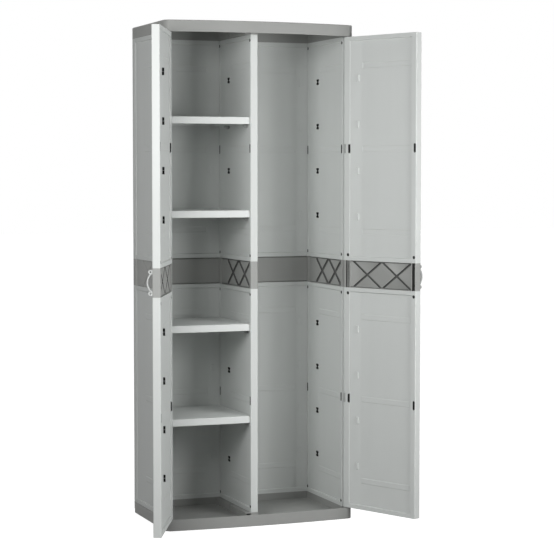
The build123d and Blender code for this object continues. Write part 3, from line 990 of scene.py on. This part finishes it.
def shelf_clip(facing):
    """Ledge with a sloped underside and the peg that holds it, its seat at the origin."""
    piece = add_block("shelf_clip", (-clip_width / 2, 0, -clip_height),
                      (clip_width / 2, facing * clip_reach, 0))
    with editing(piece):
        round_edges(lambda middle, way: abs(way.x) > mostly and middle.z < near_enough - clip_height
                    and middle.y * facing > clip_reach - near_enough, clip_chamfer, segments=1)
    peg = add_rod("peg", clip_peg_radius, (0, facing * overlap, -slot_spread),
                  (0, -facing * clip_peg_length, -slot_spread))
    carve(piece, peg, "UNION")
    soften(piece)
    return piece


def shelf_clips():
    """Four clips under each shelf, in the left wall and the divider."""
    copies = []
    for column in (left_wall, divider):
        template = shelf_clip(column.inner)
        pegs = ((column.slot_x, column.slot_depth), (column.near + front_peg_inset, field_recess))
        for x, recess in pegs:
            y = column.inner * (half_thickness - recess)
            copies += [copy_of(template, (x, y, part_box(node)[0][2]), column.place) for node in shelf_nodes]
        discard(template)
    piece = joined(copies)
    piece.name = "shelf_clips_moulding"
    hand_over(piece, "carcass", ["shelf_clips"], fitting_plastic)


# Handles and screws

def handle(column):
    """Bow pull with an ear for a padlock at each end, on the outer face of a door's band."""
    node = f"{column.name.removesuffix('_door')}_handle"
    out = -column.inner
    face = out * half_thickness
    x = column.far - handle_inset
    low_x, high_x = x - handle_width / 2, x + handle_width / 2
    bow = ((handle_span / 2) ** 2 + handle_rise ** 2) / (2 * handle_rise)
    bpy.ops.object.select_all(action="DESELECT")
    bpy.ops.mesh.primitive_torus_add(major_radius=bow - handle_bar / 2, minor_radius=handle_bar / 2,
                                     major_segments=handle_steps, minor_segments=handle_bar_sides,
                                     rotation=(0, pi / 2, 0),
                                     location=(x, face + out * (handle_rise - bow), band_middle))
    piece = bpy.context.object
    piece.name = f"{node}_moulding"
    piece.scale.z = handle_width / handle_bar
    bpy.ops.object.transform_apply(location=True, rotation=True, scale=True)
    with editing(piece):
        bpy.ops.mesh.select_all(action="SELECT")
        cut((0, face, 0), (0, out, 0), use_fill=True, clear_inner=True)
    for end in (-1, 1):
        level = band_middle + end * ear_offset
        y = face + out * ear_radius
        ear = add_rod("ear", ear_radius, (low_x, y, level), (high_x, y, level), ear_sides)
        foot = add_block("foot", (low_x, face, level - ear_radius), (high_x, y, level + ear_radius))
        carve(ear, foot, "UNION")
        eye = add_rod("eye", padlock_hole_radius, (low_x - overlap, y, level), (high_x + overlap, y, level))
        carve(ear, eye)
        carve(piece, ear, "UNION")
    soften(piece)
    hand_over(piece, column.body, [node], handle_plastic, column.place)


def screw(facing, length):
    """Domed screw, its seat at the origin and its head to one side.

    A crossed recess comes out where it faces along +y: the other way, the recess tools are inside out.
    """
    piece = add_rod("screw", screw_head_radius, (0, 0, 0), (0, facing * screw_head_height, 0))
    with editing(piece):
        round_edges(lambda middle, way: middle.y * facing > screw_head_height - near_enough,
                    screw_dome, screw_dome_steps)
    for x, z in ((recess_long, recess_short), (recess_short, recess_long)):
        recess = add_block("recess", (-x, facing * (screw_head_height - recess_deep), -z),
                           (x, facing * screw_head_height * 2, z))
        carve(piece, recess)
    shank = add_rod("shank", screw_radius, (0, facing * screw_head_height / 4, 0), (0, -facing * length, 0),
                    shank_sides)
    carve(piece, shank, "UNION")
    choose(piece)
    bpy.ops.object.shade_smooth_by_angle(angle=screw_smooth_angle)
    return piece


def screw_group(node, body, seats, length):
    """Screws of one CAD node. Each seat is a column, a place on it and the depth it lies at."""
    copies = []
    for column, x, level, depth in seats:
        template = screw(column.inner, length)
        copies.append(copy_of(template, (x, column.inner * (half_thickness - depth), level), column.place))
        discard(template)
    piece = joined(copies)
    piece.name = f"{node}_turned"
    hand_over(piece, body, [node], screw_coat)


def panel_seats(*group):
    """Seats of the screws in the borders of some columns."""
    seats = []
    for column in group:
        for half in ("lower", "upper"):
            low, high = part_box(f"{column.name}_{half}")
            seats += [(column, x, level, screw_seat_depth)
                      for x, level in column.screw_places(half, low[2], high[2])]
    return seats


def handle_seats(column):
    return [(column, column.far - handle_inset, band_middle + offset, groove_depth)
            for offset in (-handle_screw_offset, handle_screw_offset)]


# Lid and base

def tray(node, outer_z, way, bow, deck_gap, rounding):
    """Lid or base: bowed skirt round a sunk deck. The way is 1 where it opens upwards."""
    rim_z = outer_z + way * rim_height
    deck_z = outer_z + way * (deck_gap + deck_thickness)
    low_z, high_z = sorted((outer_z, rim_z))
    piece = add_block(f"{node}_moulding", (-half_width, front_y, low_z), (half_width, back_y, high_z))
    with editing(piece):
        pick("EDGE", lambda middle, run: abs(run.x) > mostly and middle.y < front_y + near_enough)
        bpy.ops.mesh.subdivide(number_cuts=front_cuts)
        pick("VERT", lambda place, normal: abs(place.x) < near_enough and place.y < front_y + near_enough)
        bpy.ops.transform.translate(value=(0, -bow, 0), use_proportional_edit=True,
                                    proportional_edit_falloff="INVERSE_SQUARE",
                                    proportional_size=half_width)
        round_edges(lambda middle, run: abs(run.z) > mostly and abs(middle.x) > half_width - near_enough,
                    corner_radius, corner_steps)
        round_edges(lambda middle, run: abs(middle.z - outer_z) < near_enough, rounding, rim_steps)
        pick("FACE", lambda place, normal: normal.z * way > mostly)
        sink(0, skirt_wall)
        push((0, 0, deck_z - rim_z))
        if deck_gap:
            pick("FACE", lambda place, normal: normal.z * way < -mostly
                 and abs(place.z - outer_z) < near_enough)
            sink(0, skirt_wall)
            push((0, 0, way * underside_rib_lift))
            x_places = shared_out(-half_width, half_width, underside_bays[0])
            y_places = shared_out(front_y, back_y, underside_bays[1])
            rib_underside(outer_z + way * underside_rib_lift, -way, x_places, y_places,
                          underside_rib, deck_gap - underside_rib_lift)
    for tool in tray_fittings(deck_z - way * deck_thickness / 2, rim_z):
        carve(piece, tool, "UNION")
    soften(piece)
    hand_over(piece, "carcass", [node], cap_plastic)


def tray_fittings(deck_z, rim_z):
    """Channels under the columns' ends, the ledge and comb beside the divider, the pivots' bosses."""
    way = 1 if rim_z > deck_z else -1
    for column in fixed_columns:
        channel = add_block("channel", (column.near, -half_thickness, deck_z),
                            (column.far, half_thickness, rim_z))
        with editing(channel):
            round_column_edges(column)
        channel.data.transform(column.place)
        yield channel
    divider_low, divider_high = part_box("divider_lower")
    low_x, high_x = divider_low[0] - ledge_width, divider_low[0] + overlap
    comb_rear = divider_high[1] - comb_rear_gap
    comb_front = comb_rear - comb_pitch * (comb_count - 1)
    yield add_block("ledge", (low_x, divider_low[1], rim_z - way * ledge_thickness),
                    (high_x, comb_front, rim_z))
    yield add_block("rail", (low_x, divider_low[1], deck_z), (low_x + ledge_thickness, comb_front, rim_z))
    for step in range(comb_count):
        y = comb_front + comb_pitch * step
        yield add_block("rib", (low_x, y - comb_rib / 2, deck_z), (high_x, y + comb_rib / 2, rim_z))
    for joint in frame["joints"]:
        x, y = joint["pos_m"][:2]
        yield add_rod("boss", pivot_boss_radius, (x, y, deck_z), (x, y, rim_z), boss_sides)


for column in fixed_columns + doors:
    band(column)
    for half in ("lower", "upper"):
        half_panel(column, half)
for tool in tools.values():
    discard(tool)
for node in shelf_nodes:
    shelf(node)
shelf_clips()
for door in doors:
    handle(door)
    screw_group(f"{door.name}_screws", door.body, panel_seats(door), screw_length)
    screw_group(f"{door.name.removesuffix('_door')}_handle_screws", door.body, handle_seats(door),
                thickness - groove_depth + handle_screw_grip)
for column in walls:
    screw_group(f"{column.name}_screws", column.body, panel_seats(column), screw_length)
screw_group("back_screws", "carcass", panel_seats(*backs), screw_length)
tray("base_tray", outer_z=0, way=1, bow=base_bow, deck_gap=floor_clearance, rounding=base_edge_round)
tray("top_cap", outer_z=lid_top, way=-1, bow=lid_bow, deck_gap=0, rounding=lid_edge_round)

# What stays as the frame has it: pivots and hinge clips
for name in ("bottom_pivots", "top_pivots", "left_hinge_clips", "right_hinge_clips"):
    for slot in frame["nodes"][name].material_slots:
        slot.material = fitting_plastic


# Floor, background, lamps and camera

floor_size = 60
floor_level = 0.4
floor_roughness = 0.9
floor_glow = 0.86
fade_start = 0.5
fade_end = 1.6
world_level = 0.02
softbox_size = 1.0
front_target = (0, -0.1, 1.0)
back_target = (0, 0.2, 0.9)
sensor_width = 36.0


def white_for_the_eye(recipe, share):
    """Share that is one where the camera, a reflection or a clear surface looks."""
    path = {name: recipe.node("ShaderNodeLightPath", None, None, name)
            for name in ("Is Camera Ray", "Is Glossy Ray", "Is Transmission Ray")}
    total = path["Is Camera Ray"] + path["Is Glossy Ray"] + path["Is Transmission Ray"]
    return total * share


def add_floor():
    """Wide pale floor: white to the eye where it is lit or far away, with a soft shadow by the object."""
    bpy.ops.object.select_all(action="DESELECT")
    bpy.ops.mesh.primitive_plane_add(size=floor_size)
    floor = bpy.context.object
    floor.name = "studio_floor"
    material, recipe, paint, place = new_finish("studio_floor_paint")
    paint.inputs["Base Color"].default_value = grey(floor_level)
    paint.inputs["Roughness"].default_value = floor_roughness
    away = recipe.node("ShaderNodeVectorMath", {"operation": "LENGTH"}, {0: place}, "Value")
    fade = recipe.node("ShaderNodeMapRange", None, {"Value": away,
                                                    "From Min": fade_start, "From Max": fade_end,
                                                    "To Min": floor_glow, "To Max": 1.0})
    glow = recipe.node("ShaderNodeEmission", None, {"Color": white_for_the_eye(recipe, fade)})
    both = recipe.node("ShaderNodeAddShader", None, {0: Value(recipe, paint.outputs[0]), 1: glow})
    recipe.feed(material.node_tree.nodes["Material Output"].inputs["Surface"], both)
    floor.data.materials.append(material)
    floor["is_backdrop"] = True


def light_world(level):
    """Even surrounding light, with plain white behind the object."""
    world = bpy.data.worlds.new("studio")
    bpy.context.scene.world = world
    world.use_nodes = True
    recipe = Recipe(world.node_tree)
    around = recipe.node("ShaderNodeBackground", None, {"Color": grey(1.0), "Strength": level})
    white = recipe.node("ShaderNodeBackground", None, {"Color": grey(1.0), "Strength": 1.0})
    share = white_for_the_eye(recipe, 1.0)
    mixed = recipe.node("ShaderNodeMixShader", None, {0: share, 1: around, 2: white})
    recipe.feed(world.node_tree.nodes["World Output"].inputs["Surface"], mixed)


def add_softbox(name, place, target, power):
    bpy.ops.object.light_add(type="AREA", location=place)
    lamp = bpy.context.object
    lamp.name = name
    lamp.data.shape = "SQUARE"
    lamp.data.size = softbox_size
    lamp.data.energy = power
    lamp.rotation_euler = (Vector(target) - Vector(place)).to_track_quat("-Z", "Y").to_euler()


def add_camera(place, pan, tilt, lens):
    bpy.ops.object.camera_add(location=place, rotation=(pi / 2 - tilt, 0, -pan))
    camera = bpy.context.object
    camera.data.sensor_width = sensor_width
    camera.data.lens = lens
    bpy.context.scene.camera = camera


add_floor()
light_world(world_level)
add_softbox("left_softbox", place=(-1.55, -1.8, 1.7), target=front_target, power=38)
add_softbox("right_softbox", place=(1.05, -2.2, 1.3), target=front_target, power=35)
add_softbox("rear_softbox", place=(1.5, 2.6, 1.7), target=back_target, power=36)
add_softbox("top_softbox", place=(0.3, 0.6, 3.3), target=(0, 0, lid_top), power=18)
add_camera(place=(-2.197, -6.125, 1.236), pan=radians(20.79), tilt=radians(3.26), lens=117.95)
bpy.context.scene.view_settings.view_transform = "Standard"

boxes = {"cad": cad_box, "visual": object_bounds()}
{name: [list(corner) for corner in box] for name, box in boxes.items()}
